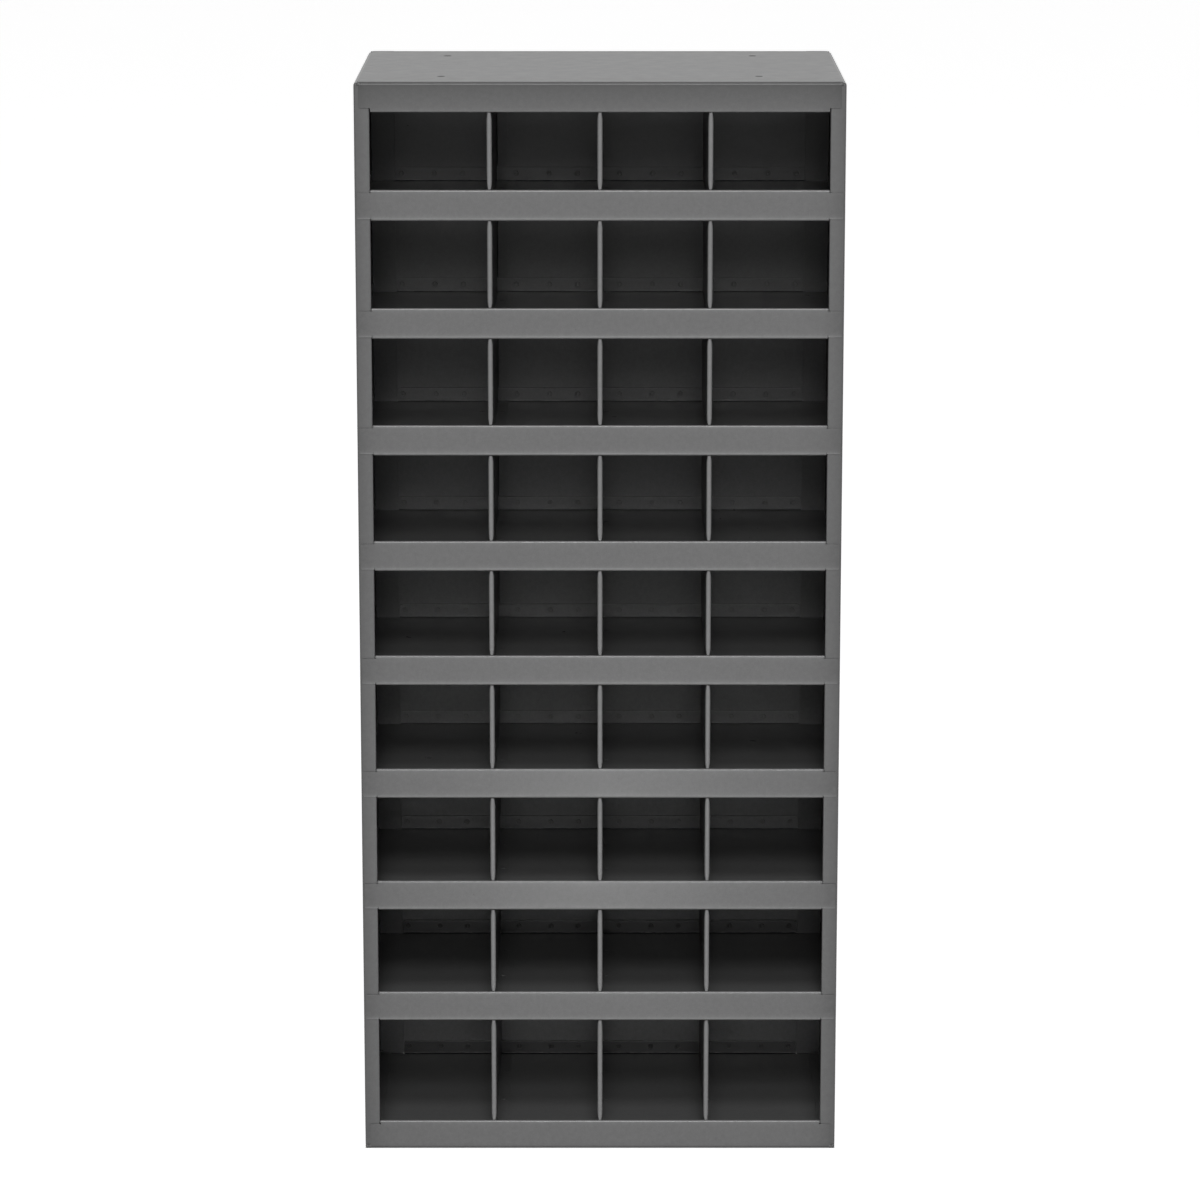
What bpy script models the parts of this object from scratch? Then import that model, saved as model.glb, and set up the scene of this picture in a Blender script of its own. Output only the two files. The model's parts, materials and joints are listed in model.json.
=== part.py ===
"""Sheet-steel pigeonhole bin: 4 columns by 9 rows of open compartments in a welded, powder-coated cabinet.

Metres, +Z up. The front faces -Y, and the origin is the centre of the footprint, on the floor.
Every piece is one folded sheet. It is drawn as its middle surface, folded edge by edge, then given its gauge.
"""

import math

import bmesh
import bpy
from mathutils import Matrix, Vector

# Cabinet
DEPTH = 0.3048
SHELF_COUNT = 8
SHELF_PITCH = 0.1143
END_ROW = 0.13335
DIVIDER_COUNT = 3
DIVIDER_PITCH = 0.1058
SIDE_COLUMN = 0.12915

# Sheet and folds
SHEET = 0.0009
BACK_SHEET = 0.0008
DIVIDER_SHEET = 0.0008
BEND_INSIDE = 0.0012
HEM_GAP = 0.0016
CLEARANCE = 0.0003
CORNER_RELIEF = 0.0006
FLANGE_CORNER = 0.003
BEND_STEPS = 4
DIVIDER_BEND_STEPS = 3
HEM_STEPS = 6
CORNER_STEPS = 2
SHARP_DEGREES = 35

# Side panels
FRONT_FLANGE = 0.015
FRONT_HEM_RETURN = 0.009
REAR_FLANGE = 0.0254
END_FLANGE = 0.013

# Front lips of the shelves, the top and the bottom
SHELF_LIP = 0.030
PANEL_LIP = 0.029
LIP_BEND_INSIDE = 0.0024
LIP_HEM_RETURN = 0.010
LIP_SIDE_GAP = 0.0008
SHELF_TAB_INSET = 0.002
SHELF_TAB_DROP = 0.003
SHELF_TAB_LOW = 0.0018
PANEL_TAB_INSET = 0.0046
PANEL_TAB_DROP = 0.0038
TAB_CORNER = 0.0012

# Other edges of the shelves, the top and the bottom
SHELF_SIDE_FLANGE = 0.012
FLOOR_REAR_FLANGE = 0.015
REAR_FLANGE_GAP = 0.0008
PANEL_INSET = 0.0035
PANEL_CORNER = 0.003

# Holes in the top
HOLE_DIAMETER = 0.0079
HOLE_FROM_SIDE = 0.0819
HOLE_FROM_END = 0.0525
HOLE_SIDES = 16

# Dividers
BEAD_WIDTH = 0.005
BEAD_TIP_WIDTH = 0.003
BEAD_TAPER = 0.008
BEAD_DEPTH = 0.009
BEAD_RETURN_GAP = 0.001
BEAD_SETBACK = 0.001
BEAD_END_GAP = 0.0004
BEAD_TAPER_STEPS = 2
BEAD_FLANK_STEPS = 2
BEAD_NOSE_STEPS = 5
DIVIDER_FLANGE = 0.012
DIVIDER_FLANGE_GAP = 0.0015
FOOT_END_GAP = 0.006

# Back panel
BACK_SIDE_INSET = 0.002
BACK_END_INSET = 0.0005

# Paint
PAINT_ROUGHNESS = 0.42
SIDE_GREY = (0.150, 0.150, 0.150)
FLOOR_GREY = (0.158, 0.158, 0.158)
DIVIDER_GREY = (0.165, 0.165, 0.165)
BACK_GREY = (0.140, 0.140, 0.140)

X = Vector((1, 0, 0))
Y = Vector((0, 1, 0))
Z = Vector((0, 0, 1))

# Outer sizes
HEIGHT = 2 * END_ROW + (SHELF_COUNT - 1) * SHELF_PITCH
HALF_WIDTH = SIDE_COLUMN + (DIVIDER_COUNT - 1) * DIVIDER_PITCH / 2
FRONT = -DEPTH / 2
BACK = DEPTH / 2

# Middle-surface radii of the folds
BEND = BEND_INSIDE + SHEET / 2
LIP_BEND = LIP_BEND_INSIDE + SHEET / 2
DIVIDER_BEND = BEND_INSIDE + DIVIDER_SHEET / 2
HEM = (HEM_GAP + SHEET) / 2
HEM_EDGE = HEM + SHEET / 2

# Layers, from the outside in: the lips, then the side panels' front flanges; the back, then the rear flanges
LIP_Y = FRONT + SHEET / 2
LIP_BEND_Y = LIP_Y + LIP_BEND
SIDE_FRONT_Y = FRONT + SHEET + CLEARANCE + SHEET / 2
REAR_LAYER = BACK - BACK_SHEET - CLEARANCE
REAR_Y = REAR_LAYER - SHEET / 2
REAR_BEND_Y = REAR_Y - BEND
END_LAYER = SHEET + CLEARANCE
HEM_HALF = HALF_WIDTH - FRONT_FLANGE - LIP_SIDE_GAP
REAR_HALF = HALF_WIDTH - REAR_FLANGE - REAR_FLANGE_GAP


def clear_scene():
    for thing in list(bpy.data.objects):
        bpy.data.objects.remove(thing, do_unlink=True)


def paint(name, colour):
    material = bpy.data.materials.new(name)
    material.use_nodes = True
    shader = material.node_tree.nodes["Principled BSDF"]
    shader.inputs["Base Color"].default_value = (*colour, 1)
    shader.inputs["Roughness"].default_value = PAINT_ROUGHNESS
    shader.inputs["Metallic"].default_value = 0
    return material


def plate(bm, points):
    """A flat face through these points, as its corners in the same order."""
    corners = [bm.verts.new(point) for point in points]
    bm.faces.new(corners)
    return corners


def rounded(before, corner, after, radius):
    """The arc that rounds a corner, as points on the way from before to after."""
    into = (corner - before).normalized()
    out = (after - corner).normalized()
    turn = into.angle(out)
    start = corner - into * radius * math.tan(turn / 2)
    centre = start + (out - into * into.dot(out)).normalized() * radius
    axis = into.cross(out)
    angles = [turn * step / CORNER_STEPS for step in range(CORNER_STEPS + 1)]
    return [centre + Matrix.Rotation(angle, 3, axis) @ (start - centre) for angle in angles]


def bend(bm, first, last, heading, toward, radius, degrees=90, steps=BEND_STEPS):
    """Curls the sheet on from the edge between two corners, and gives the two corners that they became."""
    edge = bm.edges.get((first, last))
    made = bmesh.ops.spin(
        bm,
        geom=[first, last, edge],
        cent=(first.co + last.co) / 2 + toward * radius,
        axis=heading.cross(toward),
        angle=math.radians(degrees),
        steps=steps,
    )
    ends = [item for item in made["geom_last"] if isinstance(item, bmesh.types.BMVert)]
    along = last.co - first.co
    return sorted(ends, key=lambda corner: corner.co.dot(along))


def leg(bm, first, last, reach, corner=0):
    """Carries the sheet straight on from an edge, with its two free corners rounded where corner isn't 0."""
    points = [last.co + reach, first.co + reach]
    if corner:
        points = [
            *rounded(last.co, last.co + reach, first.co + reach, corner),
            *rounded(last.co + reach, first.co + reach, first.co, corner),
        ]
    far = [bm.verts.new(point) for point in points]
    bm.faces.new([first, last, *far])
    return far[-1], far[0]


def thicken(name, bm, gauge, cutter=None):
    """The finished mesh of a folded sheet: its middle surface given its gauge, and any holes cut."""
    bmesh.ops.recalc_face_normals(bm, faces=bm.faces)
    surface = bpy.data.meshes.new(name)
    bm.to_mesh(surface)
    bm.free()
    blank = bpy.data.objects.new(name, surface)
    bpy.context.scene.collection.objects.link(blank)
    thickness = blank.modifiers.new("gauge", "SOLIDIFY")
    thickness.thickness = gauge
    thickness.offset = 0
    thickness.use_even_offset = True
    if cutter:
        blank.modifiers.new("holes", "BOOLEAN").object = cutter
    evaluated = blank.evaluated_get(bpy.context.evaluated_depsgraph_get())
    finished = bpy.data.meshes.new_from_object(evaluated)
    bpy.data.objects.remove(blank)
    bpy.data.meshes.remove(surface)
    finished.shade_smooth()
    finished.set_sharp_from_angle(angle=math.radians(SHARP_DEGREES))
    return finished


def place(name, mesh, material, location, parent):
    piece = bpy.data.objects.new(name, mesh)
    if not mesh.materials:
        mesh.materials.append(material)
    piece.location = location
    piece.parent = parent
    bpy.context.scene.collection.objects.link(piece)


def side_panel(name, side):
    """A pan with a hemmed front flange, a wide rear flange and a short flange at each end."""
    bm = bmesh.new()
    inward = -side * X
    web_x = side * (HALF_WIDTH - SHEET / 2)
    front = SIDE_FRONT_Y + BEND
    low = END_LAYER + SHEET / 2 + BEND
    high = HEIGHT - low
    outline = [
        (front + CORNER_RELIEF, low),
        (REAR_BEND_Y - CORNER_RELIEF, low),
        (REAR_BEND_Y, low + CORNER_RELIEF),
        (REAR_BEND_Y, high - CORNER_RELIEF),
        (REAR_BEND_Y - CORNER_RELIEF, high),
        (front + CORNER_RELIEF, high),
        (front, high - CORNER_RELIEF),
        (front, low + CORNER_RELIEF),
    ]
    web = plate(bm, [Vector((web_x, y, z)) for y, z in outline])
    straight = END_FLANGE - SHEET / 2 - BEND
    foot = bend(bm, web[0], web[1], -Z, inward, BEND)
    leg(bm, *foot, inward * straight, FLANGE_CORNER)
    head = bend(bm, web[4], web[5], Z, inward, BEND)
    leg(bm, *head, inward * straight, FLANGE_CORNER)
    rear = bend(bm, web[2], web[3], Y, inward, BEND)
    leg(bm, *rear, inward * (REAR_FLANGE - SHEET / 2 - BEND))
    nose = bend(bm, web[6], web[7], -Y, inward, BEND)
    nose = leg(bm, *nose, inward * (FRONT_FLANGE - SHEET / 2 - BEND - HEM_EDGE))
    nose = bend(bm, *nose, inward, Y, HEM, 180, HEM_STEPS)
    leg(bm, *nose, -inward * FRONT_HEM_RETURN)
    return thicken(name, bm, SHEET)


def front_lip(bm, left, right, height, tab_half, tab_drop, tab_low=None):
    """Folds a lip up from a floor's front edge, with a hem between its two end tabs.

    The tabs end tab_drop below the top. With tab_low, they reach past the fold and down to that height, and
    a small relief frees them from the fold.
    """
    left, right = bend(bm, left, right, -Y, Z, LIP_BEND)
    hem_z = height - HEM_EDGE
    tab_top = Vector((tab_half, LIP_Y, height - tab_drop))
    inner_top = Vector((HEM_HALF, LIP_Y, tab_top.z))
    tab = []
    below = right.co.copy()
    if tab_low is not None:
        relief = Vector((HEM_HALF, LIP_Y, right.co.z + CORNER_RELIEF))
        freed = relief + X * CORNER_RELIEF
        inner_low = Vector((freed.x, LIP_Y, tab_low))
        below = Vector((tab_half, LIP_Y, tab_low))
        tab = [relief, freed, inner_low, *rounded(inner_low, below, tab_top, TAB_CORNER)]
    tab += [*rounded(below, tab_top, inner_top, TAB_CORNER), inner_top, Vector((HEM_HALF, LIP_Y, hem_z))]
    right_end = [bm.verts.new(point) for point in tab]
    left_end = [bm.verts.new((-point.x, point.y, point.z)) for point in tab]
    bm.faces.new([left, right, *right_end, *reversed(left_end)])
    hem = bend(bm, left_end[-1], right_end[-1], Z, Y, HEM, 180, HEM_STEPS)
    leg(bm, *hem, -Z * LIP_HEM_RETURN)


def rear_flange(bm, right, left):
    up = bend(bm, right, left, Y, Z, BEND)
    leg(bm, *up, Z * (FLOOR_REAR_FLANGE - SHEET / 2 - BEND), FLANGE_CORNER)


def shelf(name):
    """A floor folded up on all four sides, notched at its corners round the side panels' flanges."""
    bm = bmesh.new()
    side_x = HALF_WIDTH - SHEET - CLEARANCE - SHEET / 2 - BEND
    notch_y = SIDE_FRONT_Y + 2 * HEM + SHEET / 2 + CLEARANCE
    right_half = [
        (HEM_HALF, LIP_BEND_Y),
        (HEM_HALF, notch_y),
        (side_x, notch_y),
        (side_x, REAR_BEND_Y),
        (REAR_HALF, REAR_BEND_Y),
    ]
    outline = right_half + [(-x, y) for x, y in reversed(right_half)]
    floor = plate(bm, [Vector((x, y, SHEET / 2)) for x, y in outline])
    front_lip(
        bm, floor[-1], floor[0], SHELF_LIP, HALF_WIDTH - SHELF_TAB_INSET, SHELF_TAB_DROP, SHELF_TAB_LOW
    )
    rear_flange(bm, floor[4], floor[5])
    straight = Z * (SHELF_SIDE_FLANGE - SHEET / 2 - BEND)
    leg(bm, *bend(bm, floor[2], floor[3], X, Z, BEND), straight, FLANGE_CORNER)
    leg(bm, *bend(bm, floor[6], floor[7], -X, Z, BEND), straight, FLANGE_CORNER)
    return thicken(name, bm, SHEET)


def hole_cutter():
    """Four round cutters for an end panel, one near each of its corners."""
    bm = bmesh.new()
    for x in (-1, 1):
        for y in (-1, 1):
            centre = (x * (HALF_WIDTH - HOLE_FROM_SIDE), y * (BACK - HOLE_FROM_END), SHEET / 2)
            bmesh.ops.create_cone(
                bm,
                cap_ends=True,
                segments=HOLE_SIDES,
                radius1=HOLE_DIAMETER / 2,
                radius2=HOLE_DIAMETER / 2,
                depth=SHEET + 2 * CLEARANCE,
                matrix=Matrix.Translation(centre),
            )
    mesh = bpy.data.meshes.new("hole_cutter")
    bm.to_mesh(mesh)
    bm.free()
    cutter = bpy.data.objects.new("hole_cutter", mesh)
    cutter.hide_render = True
    cutter.display_type = "WIRE"
    bpy.context.scene.collection.objects.link(cutter)
    return cutter


def end_panel(name, cutter=None):
    """The bottom, or the top before it is turned over: a floor with a lip, outside the sides' end flanges."""
    bm = bmesh.new()
    tab_half = HALF_WIDTH - PANEL_TAB_INSET
    edge_half = HALF_WIDTH - PANEL_INSET
    inner_rear = Vector((REAR_HALF + CORNER_RELIEF, REAR_LAYER, SHEET / 2))
    outer_rear = Vector((edge_half, REAR_LAYER, SHEET / 2))
    outer_front = Vector((edge_half, LIP_BEND_Y + edge_half - tab_half, SHEET / 2))
    right_half = [
        Vector((tab_half, LIP_BEND_Y, SHEET / 2)),
        outer_front,
        *rounded(outer_front, outer_rear, inner_rear, PANEL_CORNER),
        inner_rear,
        Vector((inner_rear.x, REAR_BEND_Y, SHEET / 2)),
        Vector((REAR_HALF, REAR_BEND_Y, SHEET / 2)),
    ]
    left_half = [Vector((-point.x, point.y, point.z)) for point in reversed(right_half)]
    floor = plate(bm, right_half + left_half)
    front_lip(bm, floor[-1], floor[0], PANEL_LIP, tab_half, PANEL_TAB_DROP)
    rear_flange(bm, floor[len(right_half) - 1], floor[len(right_half)])
    return thicken(name, bm, SHEET, cutter)


def turn_over(mesh):
    """Reflects a mesh top to bottom, with its faces still pointing out."""
    mesh.transform(Matrix.Scale(-1, 4, Z))
    mesh.flip_normals()
    return mesh


def back_panel(name):
    bm = bmesh.new()
    half = HALF_WIDTH - BACK_SIDE_INSET
    low, high = BACK_END_INSET, HEIGHT - BACK_END_INSET
    points = [(-half, low), (half, low), (half, high), (-half, high)]
    plate(bm, [Vector((x, BACK - BACK_SHEET / 2, z)) for x, z in points])
    return thicken(name, bm, BACK_SHEET)


def eased(way):
    """The way from 0 to 1 with a level start and a level end."""
    return way * way * (3 - 2 * way)


def bead_section(width):
    """The rolled front edge from above, from the web round to its free end: x, and depth behind its nose."""
    radius = (width - DIVIDER_SHEET) / 2
    free_x = DIVIDER_SHEET + CLEARANCE
    end = BEAD_DEPTH - BEAD_RETURN_GAP
    line = []
    for step in range(BEAD_FLANK_STEPS):
        way = step / BEAD_FLANK_STEPS
        line.append((-radius * eased(way), BEAD_DEPTH + (width / 2 - BEAD_DEPTH) * way))
    for step in range(BEAD_NOSE_STEPS + 1):
        angle = math.pi * step / BEAD_NOSE_STEPS
        line.append((-radius * math.cos(angle), width / 2 - radius * math.sin(angle)))
    for step in range(1, BEAD_FLANK_STEPS + 1):
        way = step / BEAD_FLANK_STEPS
        line.append((radius + (free_x - radius) * eased(way), width / 2 + (end - width / 2) * way))
    return line


def bead_stations(low, high):
    """Heights and widths of the bead: full width, tapered at both ends as a quarter sine."""
    taper = []
    for step in range(BEAD_TAPER_STEPS + 1):
        way = step / BEAD_TAPER_STEPS
        width = BEAD_TIP_WIDTH + (BEAD_WIDTH - BEAD_TIP_WIDTH) * math.sin(way * math.pi / 2)
        taper.append((BEAD_TAPER * way, width))
    lower = [(low + rise, width) for rise, width in taper]
    upper = [(high - rise, width) for rise, width in reversed(taper)]
    return lower + upper


def divider(name, ceiling, lip, hanging_lip=0, hanging_flange=0):
    """A web with a rolled front edge, a foot flange and a rear flange, over a floor at its own z = 0.

    The rolled edge starts over the floor's front lip. Under the top, it also ends below the lip that hangs
    there, and the divider's rear flange ends below the one that hangs there.
    """
    bm = bmesh.new()
    low = SHEET + CLEARANCE + DIVIDER_SHEET / 2 + DIVIDER_BEND
    high = ceiling - CLEARANCE
    nose_y = FRONT + BEAD_SETBACK
    front = nose_y + BEAD_DEPTH
    rear = REAR_LAYER - DIVIDER_SHEET / 2 - DIVIDER_BEND
    bead_high = ceiling + SHEET - hanging_lip - BEAD_END_GAP if hanging_lip else high
    flange_low = FLOOR_REAR_FLANGE + DIVIDER_FLANGE_GAP
    flange_high = ceiling + SHEET - hanging_flange - DIVIDER_FLANGE_GAP if hanging_flange else high
    stations = bead_stations(lip + BEAD_END_GAP, bead_high)
    grid = []
    for z, width in stations:
        grid.append([bm.verts.new((x, nose_y + depth, z)) for x, depth in bead_section(width)])
    for lower, upper in zip(grid, grid[1:]):
        for column in range(len(lower) - 1):
            bm.faces.new([lower[column], lower[column + 1], upper[column + 1], upper[column]])
    outline = [
        (front, low),
        (front + FOOT_END_GAP, low),
        (rear - FOOT_END_GAP, low),
        (rear, low),
        (rear, flange_low),
        (rear, flange_high),
    ]
    if flange_high < high:
        outline.append((rear, high))
    if bead_high < high:
        outline.append((front, high))
    web = [bm.verts.new((0, y, z)) for y, z in outline]
    bm.faces.new([*web, *[row[0] for row in reversed(grid)]])
    straight = X * (DIVIDER_FLANGE - DIVIDER_SHEET / 2 - DIVIDER_BEND)
    foot = bend(bm, web[1], web[2], -Z, X, DIVIDER_BEND, steps=DIVIDER_BEND_STEPS)
    leg(bm, *foot, straight, FLANGE_CORNER)
    rear_edge = bend(bm, web[4], web[5], Y, X, DIVIDER_BEND, steps=DIVIDER_BEND_STEPS)
    leg(bm, *rear_edge, straight, FLANGE_CORNER)
    return thicken(name, bm, DIVIDER_SHEET)


def main():
    clear_scene()
    cabinet = bpy.data.objects.new("cabinet", None)
    bpy.context.scene.collection.objects.link(cabinet)

    side_paint = paint("side_paint", SIDE_GREY)
    place("left_side_panel", side_panel("left_side_panel", -1), side_paint, (0, 0, 0), cabinet)
    place("right_side_panel", side_panel("right_side_panel", 1), side_paint, (0, 0, 0), cabinet)

    floor_paint = paint("floor_paint", FLOOR_GREY)
    place("bottom_panel", end_panel("bottom_panel"), floor_paint, (0, 0, 0), cabinet)
    top = turn_over(end_panel("top_panel", hole_cutter()))
    place("top_panel", top, paint("top_paint", FLOOR_GREY), (0, 0, HEIGHT), cabinet)

    shelf_paint = paint("shelf_paint", FLOOR_GREY)
    shelf_mesh = shelf("shelf")
    floors = [END_ROW + SHELF_PITCH * (SHELF_COUNT - 1 - index) for index in range(SHELF_COUNT)]
    for index, floor in enumerate(floors):
        place(f"shelf_{index + 1}", shelf_mesh, shelf_paint, (0, 0, floor), cabinet)

    place("back_panel", back_panel("back_panel"), paint("back_paint", BACK_GREY), (0, 0, 0), cabinet)

    divider_paint = paint("divider_paint", DIVIDER_GREY)
    first = divider("divider_top_row", END_ROW - SHEET, SHELF_LIP, PANEL_LIP, FLOOR_REAR_FLANGE)
    middle = divider("divider_middle_rows", SHELF_PITCH, SHELF_LIP)
    last = divider("divider_bottom_row", END_ROW, PANEL_LIP)
    meshes = [first] + [middle] * (SHELF_COUNT - 1) + [last]
    for row, (mesh, floor) in enumerate(zip(meshes, [*floors, 0])):
        for column in range(DIVIDER_COUNT):
            x = (column - (DIVIDER_COUNT - 1) / 2) * DIVIDER_PITCH
            place(f"divider_{row + 1}_{column + 1}", mesh, divider_paint, (x, 0, floor), cabinet)


main()
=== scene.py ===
# %% [markdown]
# A pigeonhole bin, dressed for its portrait.
#
# The real thing is a welded cabinet of thin folded steel: a shell, eight shelves with tall front
# lips, and twenty-seven upright dividers, all in one grey powder coat. The frame loaded here
# already holds every sheet at its exact place. These cells give the sheets soft edges, real paint
# and the marks of welding, then light them as a product photographer would. Everything is in
# metres, with the floor at z = 0 and the front facing -Y.

# %% Load the frame
import json
import math

import bmesh
import bpy
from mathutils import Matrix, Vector


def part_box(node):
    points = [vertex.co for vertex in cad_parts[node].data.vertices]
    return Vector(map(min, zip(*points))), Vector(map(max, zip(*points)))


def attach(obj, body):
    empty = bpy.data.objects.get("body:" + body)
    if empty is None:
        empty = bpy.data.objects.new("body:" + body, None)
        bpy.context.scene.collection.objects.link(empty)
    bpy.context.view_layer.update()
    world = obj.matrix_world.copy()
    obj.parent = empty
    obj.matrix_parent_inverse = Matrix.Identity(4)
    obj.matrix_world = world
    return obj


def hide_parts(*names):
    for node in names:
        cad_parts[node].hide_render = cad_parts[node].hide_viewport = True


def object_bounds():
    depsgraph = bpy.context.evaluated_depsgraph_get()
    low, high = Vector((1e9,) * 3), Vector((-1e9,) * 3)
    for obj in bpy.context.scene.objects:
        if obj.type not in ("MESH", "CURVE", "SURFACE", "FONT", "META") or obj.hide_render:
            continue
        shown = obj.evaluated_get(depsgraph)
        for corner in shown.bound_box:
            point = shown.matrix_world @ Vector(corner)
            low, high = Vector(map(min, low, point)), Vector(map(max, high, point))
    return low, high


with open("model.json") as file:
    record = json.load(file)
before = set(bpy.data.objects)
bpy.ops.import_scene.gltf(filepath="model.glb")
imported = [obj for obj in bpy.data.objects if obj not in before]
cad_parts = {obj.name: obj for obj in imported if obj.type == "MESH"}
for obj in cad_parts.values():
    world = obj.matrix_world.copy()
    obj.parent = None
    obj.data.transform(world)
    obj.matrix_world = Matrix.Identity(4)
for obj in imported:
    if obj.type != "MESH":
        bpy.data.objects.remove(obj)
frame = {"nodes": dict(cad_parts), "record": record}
packed_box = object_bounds()
low, high = packed_box
shelf_count = sum(node.startswith("shelf_") for node in frame["nodes"])
floor_nodes = [f"shelf_{index + 1}" for index in range(shelf_count)] + ["bottom_panel"]
floor_levels = [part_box(node)[0].z for node in floor_nodes]
shelf_pitch = floor_levels[0] - floor_levels[1]
packed_size = " x ".join(f"{length:.4f}" for length in high - low)
print(f"frame: {len(frame['nodes'])} sheets, {packed_size} m")

# %% [markdown]
# The camera comes first, because everything else is judged through it. Fitting a camera to the
# photograph's lip edges, corners and shelf lines puts it 4.5 m in front of the cabinet's middle
# and 1.52 m above its floor, looking down by 12.4 degrees. A long lens at that distance keeps the
# uprights nearly parallel.

# %% Camera
IMAGE_PIXELS = 1200
FOCAL_PIXELS = 4565
CAMERA_DISTANCE = 4.5
CAMERA_HEIGHT = 1.518
CAMERA_PITCH = 12.40

lens = bpy.data.cameras.new("portrait_camera")
lens.sensor_width = 36
lens.lens = FOCAL_PIXELS / IMAGE_PIXELS * lens.sensor_width
camera = bpy.data.objects.new("portrait_camera", lens)
bpy.context.scene.collection.objects.link(camera)
camera.location = (0, -CAMERA_DISTANCE, CAMERA_HEIGHT)
camera.rotation_euler = (math.radians(90 - CAMERA_PITCH), 0, 0)
bpy.context.scene.camera = camera
print(f"camera: {lens.lens:.1f} mm lens")

# %% [markdown]
# Materials and Geometry Nodes are both trees of nodes, and maths in them is easier to read as
# sums than as boxes and wires. This small class wraps one output of a node. Adding or multiplying
# two of them, or one and a number, lays a Math node and hands back its result, so a mask can be
# written as 1 - height * 4. The function lay adds any other node, and a few short helpers take up
# what the cells below would otherwise repeat. The same words then serve for paint and for shape.

# %% Node maths as Python
class Wire:
    """One output of a node, on which +, -, *, / and the like lay Math nodes."""

    def __init__(self, tree, socket):
        self.tree = tree
        self.socket = socket

    def maths(self, operation, *values):
        settings = {"operation": operation}
        return lay(self.tree, "ShaderNodeMath", settings, dict(enumerate(values)))["Value"]

    def __add__(self, other):
        return self.maths("ADD", self, other)

    def __sub__(self, other):
        return self.maths("SUBTRACT", self, other)

    def __rsub__(self, other):
        return self.maths("SUBTRACT", other, self)

    def __mul__(self, other):
        return self.maths("MULTIPLY", self, other)

    def __truediv__(self, other):
        return self.maths("DIVIDE", self, other)

    __radd__ = __add__
    __rmul__ = __mul__

    def lower(self, other):
        return self.maths("MINIMUM", self, other)

    def clamped(self):
        return self.maths("MINIMUM", self.maths("MAXIMUM", self, 0), 1)

    def sine(self):
        return self.maths("SINE", self)

    def cosine(self):
        return self.maths("COSINE", self)

    def size(self):
        return self.maths("ABSOLUTE", self)

    def exponent(self):
        return self.maths("EXPONENT", self)

    def eased(self):
        """From 0 to 1 with a level start and a level end."""
        return self * self * (3 - 2 * self)

    def off_nearest(self, start, pitch):
        """How far a length is from the nearest of start, start + pitch, start + 2 pitch, ..."""
        count = (self - start) / pitch
        return (count - count.maths("ROUND", count)) * pitch


def lay(tree, kind, settings=None, inputs=None):
    """Adds a node, sets it up, fills or wires its inputs, and gives its outputs by name."""
    node = tree.nodes.new(kind)
    for name, value in (settings or {}).items():
        setattr(node, name, value)
    for name, value in (inputs or {}).items():
        if isinstance(value, Wire):
            tree.links.new(value.socket, node.inputs[name])
        else:
            node.inputs[name].default_value = value
    return {socket.name: Wire(tree, socket) for socket in node.outputs}


def scaled(tree, vector, factor):
    inputs = {0: vector, "Scale": factor}
    return lay(tree, "ShaderNodeVectorMath", {"operation": "SCALE"}, inputs)["Vector"]


def parted(tree, vector):
    parts = lay(tree, "ShaderNodeSeparateXYZ", None, {"Vector": vector})
    return parts["X"], parts["Y"], parts["Z"]


def combined(tree, x, y, z):
    return lay(tree, "ShaderNodeCombineXYZ", None, {"X": x, "Y": y, "Z": z})["Vector"]


def emptied(owner):
    """The node tree of a new material or world, with nothing in it yet."""
    owner.use_nodes = True
    owner.node_tree.nodes.clear()
    return owner.node_tree


def placed(name, data):
    """A new object in the scene, at the origin."""
    thing = bpy.data.objects.new(name, data)
    bpy.context.scene.collection.objects.link(thing)
    return thing


def settled(thing):
    """Turns what an object's modifiers make of it into its own plain mesh, and gives that."""
    mesh = bpy.data.meshes.new_from_object(
        thing.evaluated_get(bpy.context.evaluated_depsgraph_get())
    )
    thing.modifiers.clear()
    thing.data = mesh
    return mesh


print("node maths ready")

# %% [markdown]
# Powder coat is paint sprayed on dry and baked. It melts into a slightly rippled skin, like fine
# orange peel, with a soft sheen. Four things make it look right: a neutral grey that drifts by a
# few per cent over a hand's width and carries a fine grain, a sheen that is a little uneven,
# bumps at two scales, the fine ripple of the paint and the long, shallow waves of thin sheet, and
# a tone that changes with the place, which is painted light and shade. The faces that look
# forward get painted shade towards the cabinet's side edges. The sheets at the back of the
# compartments get
# painted light and shade: palest in the lower middle, deeper towards the top and the floor. The
# pressed marks of spot welds come through the paint too. All of it reads Object coordinates, so
# it stays put on the metal.

# %% Powder coat
# Painted shade: faces that look forward darken towards the cabinet's side edges.
EDGE_PAINTED_SHADE = 0.42
EDGE_REACH = 0.014
FRONT_REACH = 0.004
REAR_REACH = 0.006
REAR_SKIN = 0.0004
MASK_SHARPNESS = 1000
REAR_SKIN_SHARPNESS = 5000
# Painted light and shade on the sheets at the back of the compartments, by height.
BACK_PAINTED_LIGHT = {"pale": 1.95, "top": 0.30, "low": 1.05}
BACK_PALE_HEIGHT, BACK_TOP_HEIGHT = 0.36, 0.96
BACK_LOW_HEIGHT = 0.22
# Each noise is a scale and a detail. A grain has a spread as well.
GRAINS = [(7, 3, 0.08), (260, 3, 0.30), (900, 2, 0.30)]
SHEEN_NOISE, SHEEN_SPREAD = (60, 3), 0.10
RIPPLE_NOISE, RIPPLE_STRENGTH, RIPPLE_DEPTH = (900, 2), 0.06, 0.0004
WAVE_NOISE, WAVE_STRENGTH, WAVE_DEPTH = (9, 1), 0.35, 0.0006
BLUENESS = 1.004
WELD_MARK_RADIUS = 0.0028
WELD_MARK_DEPTH = 0.00025


def marks(a, b):
    """A round dimple at each place where both distances are nought."""
    return ((a * a + b * b) * (-1 / WELD_MARK_RADIUS**2)).exponent()


def front_mask(y, reach=FRONT_REACH, sharpness=MASK_SHARPNESS):
    """One on the faces that look forward, fading out behind them."""
    return ((low.y + reach - y) * sharpness).clamped()


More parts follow.
